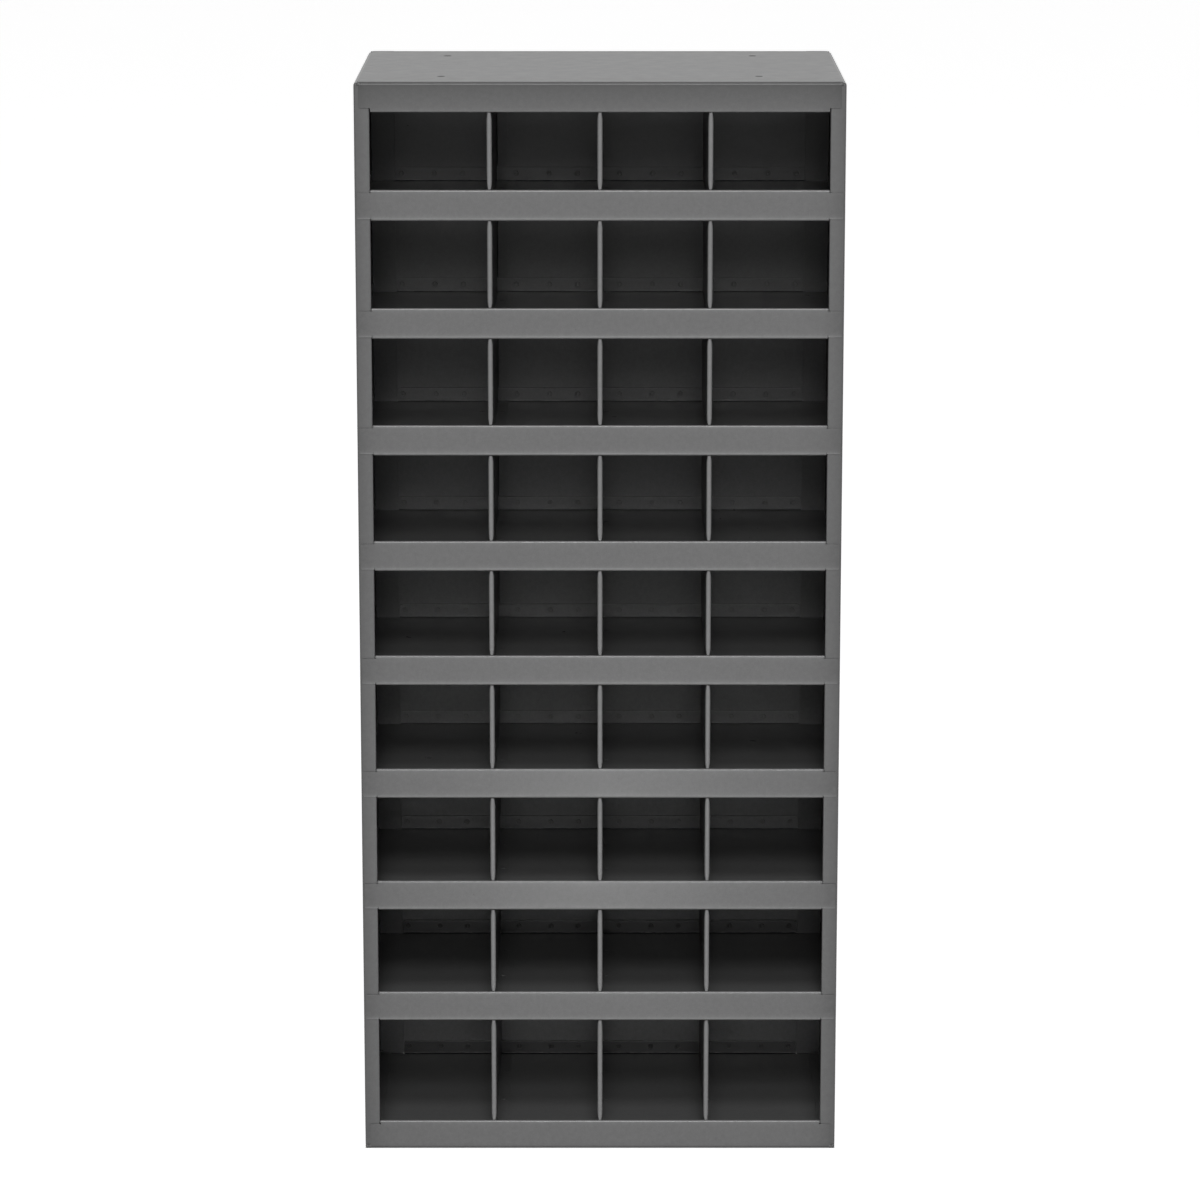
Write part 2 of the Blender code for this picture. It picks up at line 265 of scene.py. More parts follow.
def rear_mask(y):
    """One on the sheets at the back of the compartments, but not on the cabinet's outside."""
    inside = ((high.y - REAR_SKIN - y) * REAR_SKIN_SHARPNESS).clamped()
    return ((y - (high.y - REAR_REACH)) * MASK_SHARPNESS).clamped() * inside


def painted_back_light(z):
    """Painted light and shade on the sheets at the back: how pale they are at a height."""
    climb = ((z - BACK_PALE_HEIGHT) / (BACK_TOP_HEIGHT - BACK_PALE_HEIGHT)).clamped()
    sink = ((BACK_PALE_HEIGHT - z) / (BACK_PALE_HEIGHT - BACK_LOW_HEIGHT)).clamped()
    to_top = climb * (BACK_PAINTED_LIGHT["top"] - BACK_PAINTED_LIGHT["pale"])
    return BACK_PAINTED_LIGHT["pale"] + to_top + sink * (BACK_PAINTED_LIGHT["low"] - BACK_PAINTED_LIGHT["pale"])


def powder_coat(name, grey, roughness, tone=None, welds=None):
    """A grey coat. From x, y and z, tone gives a factor on the grey, and welds the marks."""
    material = bpy.data.materials.new(name)
    tree = emptied(material)
    place = lay(tree, "ShaderNodeTexCoord")["Object"]
    x, y, z = parted(tree, place)

    def noise(scale, detail):
        inputs = {"Vector": place, "Scale": scale, "Detail": detail}
        return lay(tree, "ShaderNodeTexNoise", None, inputs)["Fac"]

    inset = high.x - x.size()
    # Painted shade on the faces that look forward, deepest at the cabinet's side edges.
    painted_edge_shade = 1 - (inset * (-1 / EDGE_REACH)).exponent() * front_mask(y) * EDGE_PAINTED_SHADE
    # Painted light and shade on the sheets at the back, by height.
    painted_back_shading = 1 + rear_mask(y) * (painted_back_light(z) - 1)
    shade = painted_edge_shade * painted_back_shading
    for scale, detail, spread in GRAINS:
        shade = shade * (1 + (noise(scale, detail) - 0.5) * spread)
    # Each paint's tone is painted light and shade.
    if tone:
        shade = shade * tone(x, y, z)
    colour = scaled(tree, (grey, grey, grey * BLUENESS), shade)
    sheen = roughness + (noise(*SHEEN_NOISE) - 0.5) * SHEEN_SPREAD
    waves = {"Strength": WAVE_STRENGTH, "Distance": WAVE_DEPTH, "Height": noise(*WAVE_NOISE)}
    skin = lay(tree, "ShaderNodeBump", None, waves)
    if welds:
        pressed = {"Strength": 1.0, "Distance": WELD_MARK_DEPTH, "Normal": skin["Normal"]}
        pressed["Height"] = 1 - welds(x, y, z)
        skin = lay(tree, "ShaderNodeBump", None, pressed)
    peel = {"Strength": RIPPLE_STRENGTH, "Distance": RIPPLE_DEPTH, "Normal": skin["Normal"]}
    peel["Height"] = noise(*RIPPLE_NOISE)
    skin = lay(tree, "ShaderNodeBump", None, peel)
    inputs = {"Base Color": colour, "Roughness": sheen, "Normal": skin["Normal"]}
    coat = lay(tree, "ShaderNodeBsdfPrincipled", None, inputs)
    lay(tree, "ShaderNodeOutputMaterial", None, {"Surface": coat["BSDF"]})
    return material


print(f"powder coat: {len(GRAINS)} grains, and {RIPPLE_DEPTH * 1000} mm of orange peel")

# %% [markdown]
# Each panel gets its own mix of the coat. Spot welds are pressed through two sheets at once, so
# they mark the outside as well: in the sides where the shelves' side flanges sit, in the back
# where their rear flanges sit, in the top and bottom over the sides' end flanges, and in the tabs
# of the lips. The noses of the dividers' rolled edges get a painted highlight. The hems, the
# lower folds of the lips and the edges of the rear flanges get painted highlights too, while
# painted shade darkens the seam behind each floor and the lower fold of the bottom panel's lip.
# In the two lowest rows the rear flanges get painted shade, as dark as the floor before them. The
# lid's lip has painted shade, deeper under its fold than at its hem, and a painted highlight on
# its hem.

# %% Paints
FLANGE_WELD_HEIGHT = 0.007
SIDE_WELD_PITCH = 0.062
BACK_WELD_PITCH = 0.0705
END_WELD_INSET = 0.009
TAB_WELD_INSET = 0.0065
TAB_WELD_HEIGHT = 0.009
TAB_WELD_PITCH = 0.012
# Painted highlight on the noses of the dividers' rolled edges.
NOSE_REACH = 0.004
NOSE_HIGHLIGHT = 0.65
BELOW_FLOOR_SHARE = 0.25
LIP_HEIGHT = 0.030
PANEL_LIP_HEIGHT = 0.029
# Painted highlights on hems, lower folds and rear flange edges; painted shade in seams.
HEM_REACH = 0.0015
HEM_HIGHLIGHT = 0.75
FOLD_HEIGHT = 0.0020
FOLD_REACH = 0.0014
FOLD_HIGHLIGHT = 0.90
# Below nought, so the bottom panel's lower fold gets painted shade.
BASE_FOLD_LIGHT = -0.20
FLANGE_TOP = 0.0146
FLANGE_REACH = 0.0008
FLANGE_EDGE_HIGHLIGHT = 0.6
SEAM_HEIGHT = 0.0012
SEAM_REACH = 0.0014
SEAM_SHADE = 0.55
# Painted shade on the rear flanges of the two lowest rows.
SHADED_FLANGES_BELOW = 0.2
LOW_FLANGE_SHADE = 0.85
# Painted shade on the lid's lip under its fold, and a painted highlight on its hem.
LID_REACH = 0.0021
LID_PALE, LID_DEEP = 1.05, 0.56
LID_HEM_HIGHLIGHT = 0.6
LID_FOLD_DROP = 0.0024
LID_FOLD_REACH = 0.0011
LID_FOLD_SHADE = 0.28


def side_welds(x, y, z):
    rise = z.off_nearest(floor_levels[-2] + FLANGE_WELD_HEIGHT, shelf_pitch)
    return marks(y.off_nearest(0, SIDE_WELD_PITCH), rise)


def back_welds(x, y, z):
    rise = z.off_nearest(floor_levels[-2] + FLANGE_WELD_HEIGHT, shelf_pitch)
    return marks(x.off_nearest(0, BACK_WELD_PITCH), rise)


def end_welds(x, y, z):
    return marks(y.off_nearest(0, SIDE_WELD_PITCH), x.size() - (high.x - END_WELD_INSET))


def tab_welds(x, y, z):
    rise = z.off_nearest(floor_levels[-2] + TAB_WELD_HEIGHT + TAB_WELD_PITCH / 2, shelf_pitch)
    return marks(x.size() - (high.x - TAB_WELD_INSET), rise.size() - TAB_WELD_PITCH / 2)


# Painted highlight on the divider's rolled nose, fading back from the front.
def painted_nose_highlight(x, y, z):
    return 1 + ((y - low.y) * (-1 / NOSE_REACH)).exponent() * NOSE_HIGHLIGHT


def near(distance, reach):
    """One where a distance is nought, fading to nothing over its reach on both sides."""
    return (distance.size() * (-1 / reach)).exponent()


def folded(start, lip_height, fold_light):
    """Painted highlight on hem, fold and flange edge, painted shade in the seam and low flanges.
    """
    below = shelf_pitch * BELOW_FLOOR_SHARE

    def tone(x, y, z):
        rise = z.off_nearest(start + below, shelf_pitch) + below
        # Painted highlights on the hem, the fold and the flange edge; painted shade in the seam.
        hem = near(rise - lip_height, HEM_REACH) * HEM_HIGHLIGHT
        fold = near(rise - FOLD_HEIGHT, FOLD_REACH) * fold_light
        edge = near(rise - FLANGE_TOP, FLANGE_REACH) * FLANGE_EDGE_HIGHLIGHT
        seam = near(rise - SEAM_HEIGHT, SEAM_REACH) * SEAM_SHADE
        # Painted shade on the rear flanges of the lowest rows.
        low_row = ((SHADED_FLANGES_BELOW - z) * MASK_SHARPNESS).clamped()
        dark = ((FLANGE_TOP - rise) * MASK_SHARPNESS).clamped() * low_row * LOW_FLANGE_SHADE
        behind = (1 + edge - seam) * (1 - dark) - 1
        return 1 + (hem + fold) * front_mask(y) + behind * rear_mask(y)

    return tone


def lid_painted_light(x, y, z):
    """Painted shade on the lid's lip, deeper at its upper fold, painted highlight on its hem."""
    drop = ((high.z - z) / PANEL_LIP_HEIGHT).clamped()
    hem = near(z - (high.z - PANEL_LIP_HEIGHT), HEM_REACH) * LID_HEM_HIGHLIGHT
    fold = near(z - (high.z - LID_FOLD_DROP), LID_FOLD_REACH) * LID_FOLD_SHADE
    lip = drop * (LID_PALE - LID_DEEP) + (LID_DEEP - 1) + hem - fold
    return 1 + lip * front_mask(y, LID_REACH, 1 / LID_REACH)


# The bottom panel's lower fold gets painted shade, the shelves' folds a painted highlight.
floor_painted_light = folded(0, PANEL_LIP_HEIGHT, BASE_FOLD_LIGHT)
shelf_painted_light = folded(floor_levels[-2], LIP_HEIGHT, FOLD_HIGHLIGHT)
# The greys are fitted to how each panel is lit; the top coat's lower grey is painted shade.
PAINTS = {
    "side_paint": powder_coat("side_coat", 0.153, 0.36, welds=side_welds),
    "top_paint": powder_coat("top_coat", 0.121, 0.40, tone=lid_painted_light, welds=end_welds),
    "floor_paint": powder_coat("floor_coat", 0.144, 0.30, tone=floor_painted_light, welds=end_welds),
    "shelf_paint": powder_coat("shelf_coat", 0.146, 0.30, tone=shelf_painted_light, welds=tab_welds),
    "back_paint": powder_coat("back_coat", 0.150, 0.30, welds=back_welds),
    "divider_paint": powder_coat("divider_coat", 0.150, 0.32, tone=painted_nose_highlight),
}
print("paints:", ", ".join(PAINTS))

# %% [markdown]
# A sheet comes out of the frame as loose triangles, so light breaks at each facet of its bends. A
# copy of it is merged at its doubled corners and shaded smooth. A hair's breadth of bevel rounds
# the cut edges, as the melted powder does, and catches a thin line of light. Corner normals are
# then weighted by area, so that the flats stay flat, and only the bends and edges turn from light
# to dark.

# %% Smooth sheets
MERGE_DISTANCE = 0.00001
EDGE_ROUNDING = 0.00018
EDGE_DEGREES = 38
FLAT_DEGREES = 0.2
slots = {part["node"]: part["material_slot"] for part in frame["record"]["subparts"]}


def finished(sheet, material):
    """Rounds a sheet's cut edges, evens its normals, and leaves a plain mesh in one paint."""
    bevel = sheet.modifiers.new("rounding", "BEVEL")
    bevel.width = EDGE_ROUNDING
    bevel.segments = 1
    bevel.angle_limit = math.radians(EDGE_DEGREES)
    sheet.modifiers.new("weighting", "WEIGHTED_NORMAL")
    mesh = settled(sheet)
    mesh.materials.clear()
    mesh.materials.append(material)
    return sheet


def smooth_sheet(node):
    bm = bmesh.new()
    bm.from_mesh(frame["nodes"][node].data)
    bmesh.ops.remove_doubles(bm, verts=bm.verts, dist=MERGE_DISTANCE)
    flat = math.radians(FLAT_DEGREES)
    bmesh.ops.dissolve_limit(bm, angle_limit=flat, verts=bm.verts, edges=bm.edges)
    mesh = bpy.data.meshes.new(node + "_sheet")
    bm.to_mesh(mesh)
    bm.free()
    mesh.shade_smooth()
    sheet = placed(node + "_sheet", mesh)
    finished(sheet, PAINTS[slots[node]])
    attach(sheet, "root")
    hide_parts(node)
    return sheet


sheets = [smooth_sheet(node) for node in frame["nodes"] if not node.startswith("divider_")]
print(f"sheets: {len(sheets)}, {sum(len(sheet.data.polygons) for sheet in sheets)} faces")

# %% [markdown]
# The dividers are twenty-seven of a kind: a flat web whose front edge is rolled into a slim bead,
# plus a foot flange and a rear flange for welding. Their shape follows a rule, so Geometry Nodes
# lofts it. A grid is rolled up: how far a point is along the grid decides where it lies on the
# section of the bead, and how high it is decides how wide the bead is there, because the roll
# narrows at both ends. Each stretch of the section is a way that runs from 0 to 1 and then stays
# at 1, so the stretches simply add up.

# %% Geometry tree helpers
def geometry_tree(name, sizes):
    """An empty geometry tree with one named input for each size, and the wires of its inputs."""
    tree = bpy.data.node_groups.new(name, "GeometryNodeTree")
    tree.interface.new_socket(name="Geometry", in_out="INPUT", socket_type="NodeSocketGeometry")
    for size in sizes:
        tree.interface.new_socket(name=size, in_out="INPUT", socket_type="NodeSocketFloat")
    tree.interface.new_socket(name="Geometry", in_out="OUTPUT", socket_type="NodeSocketGeometry")
    return tree, lay(tree, "NodeGroupInput")


def shaped_grid(tree, columns, rows, shape):
    """A grid whose points go where shape says, from their column and their way up, 0 to 1."""
    counts = {"Size X": 1.0, "Size Y": 1.0, "Vertices X": columns + 1, "Vertices Y": rows + 1}
    grid = lay(tree, "GeometryNodeMeshGrid", None, counts)["Mesh"]
    across, up = parted(tree, lay(tree, "GeometryNodeInputPosition")["Position"])[:2]
    place = combined(tree, *shape((across + 0.5) * columns, up + 0.5))
    inputs = {"Geometry": grid, "Position": place}
    return lay(tree, "GeometryNodeSetPosition", None, inputs)["Geometry"]


def join(tree, parts):
    node = tree.nodes.new("GeometryNodeJoinGeometry")
    for part in reversed(parts):
        tree.links.new(part.socket, node.inputs["Geometry"])
    return Wire(tree, node.outputs["Geometry"])


def close_tree(tree, geometry, material):
    """Ends a tree: smooth shading, real geometry instead of instances, and its paint."""
    smooth = lay(tree, "GeometryNodeSetShadeSmooth", None, {"Geometry": geometry})["Geometry"]
    real = lay(tree, "GeometryNodeRealizeInstances", None, {"Geometry": smooth})["Geometry"]
    paint = {"Geometry": real, "Material": material}
    painted = lay(tree, "GeometryNodeSetMaterial", None, paint)["Geometry"]
    lay(tree, "NodeGroupOutput", None, {"Geometry": painted})


def grown(name, tree, sizes, mesh=None):
    """An object that wears a geometry tree, with its sizes set."""
    thing = placed(name, mesh or bpy.data.meshes.new(name))
    modifier = thing.modifiers.new("nodes", "NODES")
    modifier.node_group = tree
    for socket in tree.interface.items_tree:
        if socket.name in sizes:
            modifier[socket.identifier] = float(sizes[socket.name])
    return thing


print("geometry tree helpers ready")

# %% [markdown]
# One divider's web and bead are a single grid, bent round in plan. Its foot flange and its rear
# flange are two more, folded to the right. The tree joins them, and a Solidify modifier gives the
# middle surface its gauge. The numbers that differ from divider to divider come from the frame's
# own boxes.

# %% Dividers
DIVIDER_SHEET = 0.0008
DIVIDER_BEND = 0.0016
DIVIDER_FLANGE = 0.012
FLANGE_CORNER = 0.003
FOOT_END_GAP = 0.006
BEAD_WIDTH = 0.005
BEAD_TIP_WIDTH = 0.003
BEAD_TAPER = 0.008
BEAD_DEPTH = 0.009
BEAD_FREE_EDGE = 0.0011
BEAD_RETURN_GAP = 0.001
BEAD_END_GAP = 0.0004
REAR_FLANGE_HEIGHT = 0.015
REAR_FLANGE_GAP = 0.0015
FLANK_COLUMNS = 6
NOSE_COLUMNS = 14
BEAD_ROWS = 28
BEND_COLUMNS = 6
CORNER_COLUMNS = 4
SIZES = ["Web X", "Nose Y", "Rear Y", "Web Low", "Web High", "Bead Low", "Bead High"]
SIZES += ["Flange Low", "Flange High"]

tree, size = geometry_tree("folded_divider", SIZES)


def way(column, start, count):
    return ((column - start) / count).clamped()


def web_and_bead(column, rise):
    web = way(column, 0, 1)
    flank = way(column, 1, FLANK_COLUMNS)
    nose = way(column, 1 + FLANK_COLUMNS, NOSE_COLUMNS) * math.pi
    home = way(column, 1 + FLANK_COLUMNS + NOSE_COLUMNS, FLANK_COLUMNS)
    climb = rise.eased()
    bead_z = size["Bead Low"] + (size["Bead High"] - size["Bead Low"]) * climb
    from_end = (bead_z - size["Bead Low"]).lower(size["Bead High"] - bead_z)
    swell = ((from_end / BEAD_TAPER).clamped() * (math.pi / 2)).sine()
    width = BEAD_TIP_WIDTH + swell * (BEAD_WIDTH - BEAD_TIP_WIDTH)
    radius = (width - DIVIDER_SHEET) / 2
    x = radius * (1 - nose.cosine()) - radius * flank.eased()
    x = x + (BEAD_FREE_EDGE - radius) * home.eased()
    web_depth = size["Rear Y"] - size["Nose Y"]
    depth = web_depth + (BEAD_DEPTH - web_depth) * web + (width / 2 - BEAD_DEPTH) * flank
    depth = depth - radius * nose.sine() + (BEAD_DEPTH - BEAD_RETURN_GAP - width / 2) * home
    onto_bead = way(column, 1, 1)
    foot = size["Web Low"] + (size["Bead Low"] - size["Web Low"]) * onto_bead
    head = size["Web High"] + (size["Bead High"] - size["Web High"]) * onto_bead
    return size["Web X"] + x, size["Nose Y"] + depth, foot + (head - foot) * climb


def flange(column, rise, length):
    """A strip folded over from -Z to +X, along +Y, with its two free corners rounded."""
    turn = way(column, 0, BEND_COLUMNS) * (math.pi / 2)
    flat = way(column, BEND_COLUMNS, 1)
    corner = way(column, BEND_COLUMNS + 1, CORNER_COLUMNS) * (math.pi / 2)
    straight = DIVIDER_FLANGE - DIVIDER_SHEET / 2 - DIVIDER_BEND - FLANGE_CORNER
    out = DIVIDER_BEND * (1 - turn.cosine()) + straight * flat + FLANGE_CORNER * corner.sine()
    trim = FLANGE_CORNER * (1 - corner.cosine())
    return out, trim + (length - trim * 2) * rise, turn.sine() * -DIVIDER_BEND


def moved(geometry, x, y, z, tip=0.0):
    inputs = {"Geometry": geometry, "Rotation": (tip, 0, 0)}
    inputs["Translation"] = combined(tree, x, y, z)
    return lay(tree, "GeometryNodeTransform", None, inputs)["Geometry"]


web = shaped_grid(tree, 1 + 2 * FLANK_COLUMNS + NOSE_COLUMNS, BEAD_ROWS, web_and_bead)
flange_columns = BEND_COLUMNS + 1 + CORNER_COLUMNS
foot_start = size["Nose Y"] + (BEAD_DEPTH + FOOT_END_GAP)
foot_length = size["Rear Y"] - FOOT_END_GAP - foot_start
foot = shaped_grid(tree, flange_columns, 1, lambda *at: flange(*at, foot_length))
foot = moved(foot, size["Web X"], foot_start, size["Web Low"])
rear_length = size["Flange High"] - size["Flange Low"]
rear = shaped_grid(tree, flange_columns, 1, lambda *at: flange(*at, rear_length))
rear = moved(rear, size["Web X"], size["Rear Y"], size["Flange Low"], math.pi / 2)
close_tree(tree, join(tree, [web, foot, rear]), PAINTS["divider_paint"])


def divider(row, column):
    node = f"divider_{row}_{column}"
    lowest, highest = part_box(node)
    ceiling = highest.z
    values = {
        "Web X": lowest.x + BEAD_WIDTH / 2,
        "Nose Y": lowest.y,
        "Rear Y": highest.y - DIVIDER_SHEET / 2 - DIVIDER_BEND,
        "Web Low": lowest.z + DIVIDER_SHEET / 2 + DIVIDER_BEND,
        "Web High": ceiling,
        "Bead Low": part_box(floor_nodes[row - 1])[1].z + BEAD_END_GAP,
        "Bead High": ceiling if row > 1 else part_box("top_panel")[0].z - BEAD_END_GAP,
        "Flange Low": floor_levels[row - 1] + REAR_FLANGE_HEIGHT + REAR_FLANGE_GAP,
        "Flange High": ceiling if row > 1 else high.z - REAR_FLANGE_HEIGHT - REAR_FLANGE_GAP,
    }
    piece = grown(node + "_sheet", tree, values)
    gauge = piece.modifiers.new("gauge", "SOLIDIFY")
    gauge.thickness = DIVIDER_SHEET
    gauge.offset = 0
    gauge.use_even_offset = True
    finished(piece, PAINTS["divider_paint"])
    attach(piece, "root")
    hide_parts(node)
    return piece


divider_nodes = [node for node in frame["nodes"] if node.startswith("divider_")]
dividers = [divider(*map(int, node.split("_")[1:])) for node in divider_nodes]
print(f"dividers: {len(dividers)}, {len(dividers[0].data.polygons)} faces each")

# %% [markdown]
# Inside, the same welds can be seen as they are: shallow round prints of the electrode with a
# faint raised rim. One print is a small grid wrapped round and closed. Geometry Nodes sets one on
# every point of a mesh that holds nothing but the places of the welds, turned to face the way the
# sheet faces, and shifts each a little by chance, because they are set by hand.

# %% Spot welds
WELD_RADIUS = 0.0030
WELD_RISE = 0.00035
WELD_SEGMENTS = 10
WELD_RINGS = 4
WELD_RING_STEPS = (0.55, 0.25, 0.20)
WELD_DISH = 0.2
WELD_FOOT = 1.5
WELD_JITTER = 0.0015
WELD_SEED = 7

weld_tree, weld = geometry_tree("spot_welds", ["Radius", "Rise", "Jitter"])


def weld_print(column, rise):
    centre, crest, rim, under = [way(rise * WELD_RINGS, ring, 1) for ring in range(WELD_RINGS)]
    dish, shoulder, skirt = WELD_RING_STEPS
    radius = weld["Radius"] * (centre * dish + crest * shoulder + rim * skirt - under)
    height = weld["Rise"] * (WELD_DISH + crest * (1 - WELD_DISH) - rim * WELD_FOOT)
    angle = column * (2 * math.pi / WELD_SEGMENTS)
    return radius * angle.cosine(), radius * angle.sine(), height


one = shaped_grid(weld_tree, WELD_SEGMENTS, WELD_RINGS, weld_print)
closing = {"Geometry": one, "Distance": MERGE_DISTANCE}
one = lay(weld_tree, "GeometryNodeMergeByDistance", None, closing)["Geometry"]
vector = {"data_type": "FLOAT_VECTOR"}
facing = lay(weld_tree, "GeometryNodeInputNamedAttribute", vector, {"Name": "facing"})
facing = facing["Attribute"]
turned = lay(weld_tree, "FunctionNodeAlignRotationToVector", {"axis": "Z"}, {"Vector": facing})
chance = {"Min": (-1, -1, -1), "Max": (1, 1, 1), "Seed": WELD_SEED}
nudge = lay(weld_tree, "FunctionNodeRandomValue", vector, chance)["Value"]
nudge = scaled(weld_tree, nudge, weld["Jitter"])
dot, minus = {"operation": "DOT_PRODUCT"}, {"operation": "SUBTRACT"}
along = lay(weld_tree, "ShaderNodeVectorMath", dot, {0: nudge, 1: facing})["Value"]
lift = scaled(weld_tree, facing, along)
nudge = lay(weld_tree, "ShaderNodeVectorMath", minus, {0: nudge, 1: lift})["Vector"]
shift = {"Geometry": weld["Geometry"], "Offset": nudge}
shifted = lay(weld_tree, "GeometryNodeSetPosition", None, shift)["Geometry"]
prints = {"Points": shifted, "Instance": one, "Rotation": turned["Rotation"]}
prints = lay(weld_tree, "GeometryNodeInstanceOnPoints", None, prints)["Instances"]
close_tree(weld_tree, prints, PAINTS["shelf_paint"])
print(f"spot weld tree: {WELD_SEGMENTS * WELD_RINGS} faces for each print")

# %% [markdown]
# The welder's habits give the places: three along the rear flange of every compartment, four
# along each side flange of a shelf, and three in the foot of each divider. Every place comes with
# the way its sheet faces.

# %% Weld places
SHEET = 0.0009
CLEARANCE = 0.0003
REAR_WELDS = (-0.033, 0.001, 0.030)
REAR_WELD_HEIGHT = 0.0085
FOOT_WELDS = (-0.095, -0.005, 0.085)
FOOT_WELD_SHARE = 0.55
SIDE_WELDS = (-0.11, -0.04, 0.03, 0.10)

back_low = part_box("back_panel")[0]
rear_y = back_low.y - CLEARANCE - SHEET
walls = sorted({round(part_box(node)[0].x + BEAD_WIDTH / 2, 5) for node in divider_nodes})
edges = [low.x, *walls, high.x]
places = []
for floor_node, level in zip(floor_nodes, floor_levels):
    for left, right in zip(edges, edges[1:]):
        middle = (left + right) / 2
        row = [(middle + x, rear_y, level + REAR_WELD_HEIGHT) for x in REAR_WELDS]
        places += [(place, (0, -1, 0)) for place in row]
    if floor_node != "bottom_panel":
        inner = high.x - SHEET - CLEARANCE - SHEET
        for side in (-1, 1):
            row = [(side * inner, y, level + FLANGE_WELD_HEIGHT) for y in SIDE_WELDS]
            places += [(place, (-side, 0, 0)) for place in row]
for node in divider_nodes:
    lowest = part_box(node)[0]
    foot_x = lowest.x + BEAD_WIDTH / 2 + DIVIDER_FLANGE * FOOT_WELD_SHARE
    places += [((foot_x, y, lowest.z + DIVIDER_SHEET), (0, 0, 1)) for y in FOOT_WELDS]

spots = bpy.data.meshes.new("spot_welds")
spots.from_pydata([place for place, way_out in places], [], [])
facings = spots.attributes.new("facing", "FLOAT_VECTOR", "POINT")
for point, (place, way_out) in zip(facings.data, places):
    point.vector = way_out
weld_sizes = {"Radius": WELD_RADIUS, "Rise": WELD_RISE, "Jitter": WELD_JITTER}
welds = grown("spot_welds", weld_tree, weld_sizes, spots)
mesh = settled(welds)
bm = bmesh.new()
bm.from_mesh(mesh)
bmesh.ops.recalc_face_normals(bm, faces=bm.faces)
bm.to_mesh(mesh)
bm.free()
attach(welds, "root")
print(f"spot welds: {len(places)}, {len(mesh.polygons)} faces")

# %% [markdown]
# Folded corners stay open where three bends meet, and a welder closes them with one round bead
# each. The same is done at both ends of every hem, and in the slot that frees a lip's tab from
# its fold. A second, simpler tree sets a small ball on each of these places, scaled by a radius
# that every point carries.

# %% Weld beads
OUTER_BEND = 0.0021
CORNER_BEAD = 0.00205
PANEL_BEAD_INSET = 0.0046
HEM_HALF = 0.21915
HEM_EDGE = 0.0017
HEM_BEAD = 0.0016
SLOT_BEAD = 0.00085
SLOT_HEIGHT = 0.0028
SLOT_INSET = 0.0003
BALL_SEGMENTS = 12
BALL_RINGS = 8

bead_tree, bead = geometry_tree("weld_beads", ["Roundness"])
ball = {"Segments": BALL_SEGMENTS, "Rings": BALL_RINGS, "Radius": 1.0}
ball = lay(bead_tree, "GeometryNodeMeshUVSphere", None, ball)["Mesh"]
number = {"data_type": "FLOAT"}
reach = lay(bead_tree, "GeometryNodeInputNamedAttribute", number, {"Name": "reach"})
reach = reach["Attribute"]
stretch = combined(bead_tree, reach, reach, reach * bead["Roundness"])
beads = {"Points": bead["Geometry"], "Instance": ball, "Scale": stretch}
beads = lay(bead_tree, "GeometryNodeInstanceOnPoints", None, beads)["Instances"]
close_tree(bead_tree, beads, PAINTS["side_paint"])

balls = []
for node in ("left_side_panel", "right_side_panel"):
    corners = zip(*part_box(node))
    xs, ys, zs = [(a + OUTER_BEND, b - OUTER_BEND) for a, b in corners]
    x = xs[0] if node.startswith("left") else xs[1]
    balls += [((x, y, z), CORNER_BEAD) for y in ys for z in zs]
# The front corners need more: the lid covers the outer two at the top, so only its inner two do.
for x in (high.x - CORNER_BEAD, high.x - PANEL_BEAD_INSET):
    for z in (low.z + CORNER_BEAD, high.z - CORNER_BEAD):
        if x < high.x - CORNER_BEAD or z < high.z / 2:
            balls += [((side * x, low.y + CORNER_BEAD, z), CORNER_BEAD) for side in (-1, 1)]
for node, level in zip(floor_nodes, floor_levels):
    top = level + (PANEL_LIP_HEIGHT if node == "bottom_panel" else LIP_HEIGHT)
    for side in (-1, 1):
        balls.append(((side * HEM_HALF, low.y + HEM_EDGE, top - HEM_EDGE), HEM_BEAD))
        if node != "bottom_panel":
            slot_x = side * (HEM_HALF + SLOT_INSET)
            balls.append(((slot_x, low.y + SLOT_BEAD, level + SLOT_HEIGHT), SLOT_BEAD))

points = bpy.data.meshes.new("weld_beads")
points.from_pydata([place for place, radius in balls], [], [])
reaches = points.attributes.new("reach", "FLOAT", "POINT")
for point, (place, radius) in zip(reaches.data, balls):
    point.value = radius
beads = grown("weld_beads", bead_tree, {"Roundness": 1.0}, points)
mesh = settled(beads)
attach(beads, "root")
print(f"weld beads: {len(balls)}, {len(mesh.polygons)} faces")

# %% [markdown]
# The studio is a white floor that runs back past the view, a plain white sky, and seven
# softboxes. Two pairs stand high in front, 42 and 30 degrees up, and a little to each side, with
# one more below them, 20 degrees up. The shelves cut them off one after the other, which darkens
# each floor in steps, and the dividers shade a strip on both their sides. A dim box straight in
# front reaches the backs of the compartments, and a small one on the floor, close in front, lifts
# the underside of the folds. The camera and every reflection see the sky as pure white, and see
# the floor lifted to it, while the floor keeps the cabinet's shadow.

# %% Studio
SKY_LEVEL = 0.12
FLOOR_HALF = 60
FLOOR_GREY = 0.8
FLOOR_ROUGHNESS = 0.9
FLOOR_GRAIN_SCALE, FLOOR_GRAIN = 3.0, 0.01
FLOOR_LIFT = 0.80
# Each softbox: its name, degrees up, degrees to the right, metres away, width in metres, watts.
SOFTBOXES = [
    ("upper_left_softbox", 42, -4, 12.0, 1.5, 145),
    ("upper_right_softbox", 42, 4, 12.0, 1.5, 145),
    ("middle_left_softbox", 30, -3, 12.0, 1.5, 155),
    ("middle_right_softbox", 30, 3, 12.0, 1.5, 155),
    ("lower_softbox", 20, 0, 12.0, 1.5, 155),
    ("front_softbox", 1.5, 0, 12.0, 0.4, 4),
    ("floor_softbox", -23.3, 0, 1.2, 0.1, 0.55),
]


def seen_directly(tree):
    """One for rays from the camera, a reflection or glass, and zero for the rest."""
    path = lay(tree, "ShaderNodeLightPath")
    return (path["Is Camera Ray"] + path["Is Glossy Ray"] + path["Is Transmission Ray"]).clamped()


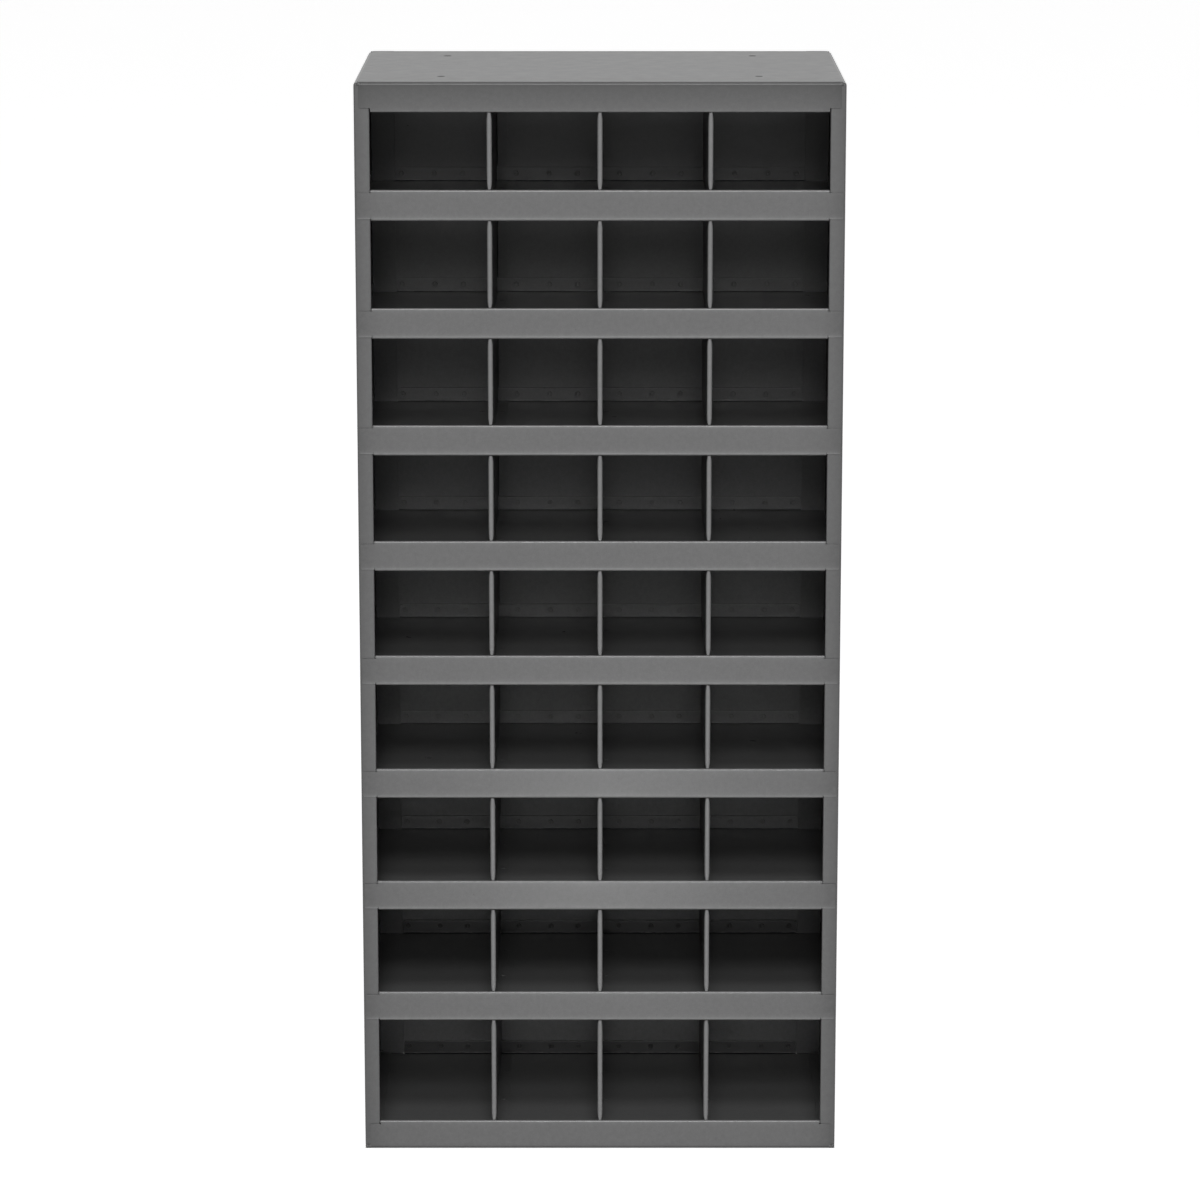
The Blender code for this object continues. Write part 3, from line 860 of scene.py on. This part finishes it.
world = bpy.data.worlds.new("studio_sky")
sky_tree = emptied(world)
brightness = SKY_LEVEL + seen_directly(sky_tree) * (1 - SKY_LEVEL)
sky = lay(sky_tree, "ShaderNodeBackground", None, {"Color": (1, 1, 1, 1), "Strength": brightness})
lay(sky_tree, "ShaderNodeOutputWorld", None, {"Surface": sky["Background"]})
bpy.context.scene.world = world

paper = bpy.data.materials.new("studio_floor")
paper_tree = emptied(paper)
place = lay(paper_tree, "ShaderNodeTexCoord")["Object"]
across, along = parted(paper_tree, place)[:2]
grain = {"Vector": place, "Scale": FLOOR_GRAIN_SCALE}
grain = lay(paper_tree, "ShaderNodeTexNoise", None, grain)["Fac"]
grey = scaled(paper_tree, (1, 1, 1), FLOOR_GREY + (grain - 0.5) * FLOOR_GRAIN)
past_sides = across.maths("GREATER_THAN", across.size(), high.x)
past_ends = along.maths("GREATER_THAN", along.size(), high.y)
open_floor = (past_sides + past_ends).clamped()
glow = {"Base Color": grey, "Roughness": FLOOR_ROUGHNESS, "Emission Color": (1, 1, 1, 1)}
glow["Emission Strength"] = seen_directly(paper_tree) * open_floor * FLOOR_LIFT
surface = lay(paper_tree, "ShaderNodeBsdfPrincipled", None, glow)
lay(paper_tree, "ShaderNodeOutputMaterial", None, {"Surface": surface["BSDF"]})

bm = bmesh.new()
bmesh.ops.create_grid(bm, x_segments=1, y_segments=1, size=FLOOR_HALF)
floor_mesh = bpy.data.meshes.new("studio_floor")
bm.to_mesh(floor_mesh)
bm.free()
floor_mesh.materials.append(paper)
floor = placed("studio_floor", floor_mesh)

aim = Vector((0, 0, (low.z + high.z) / 2))
for name, elevation, azimuth, distance, span, watts in SOFTBOXES:
    lamp = bpy.data.lights.new(name, "AREA")
    lamp.shape = "SQUARE"
    lamp.size = span
    lamp.energy = watts
    box = placed(name, lamp)
    rise, turn = math.radians(elevation), math.radians(azimuth)
    out, up = math.cos(rise), math.sin(rise)
    away = Vector((out * math.sin(turn), -out * math.cos(turn), up))
    box.location = aim + away * distance
    box.rotation_mode = "QUATERNION"
    box.rotation_quaternion = away.to_track_quat("Z", "Y")
bpy.context.scene.view_settings.view_transform = "Standard"
print(f"studio: sky {SKY_LEVEL}, {len(SOFTBOXES)} softboxes")

# %% Finish
bpy.context.view_layer.update()
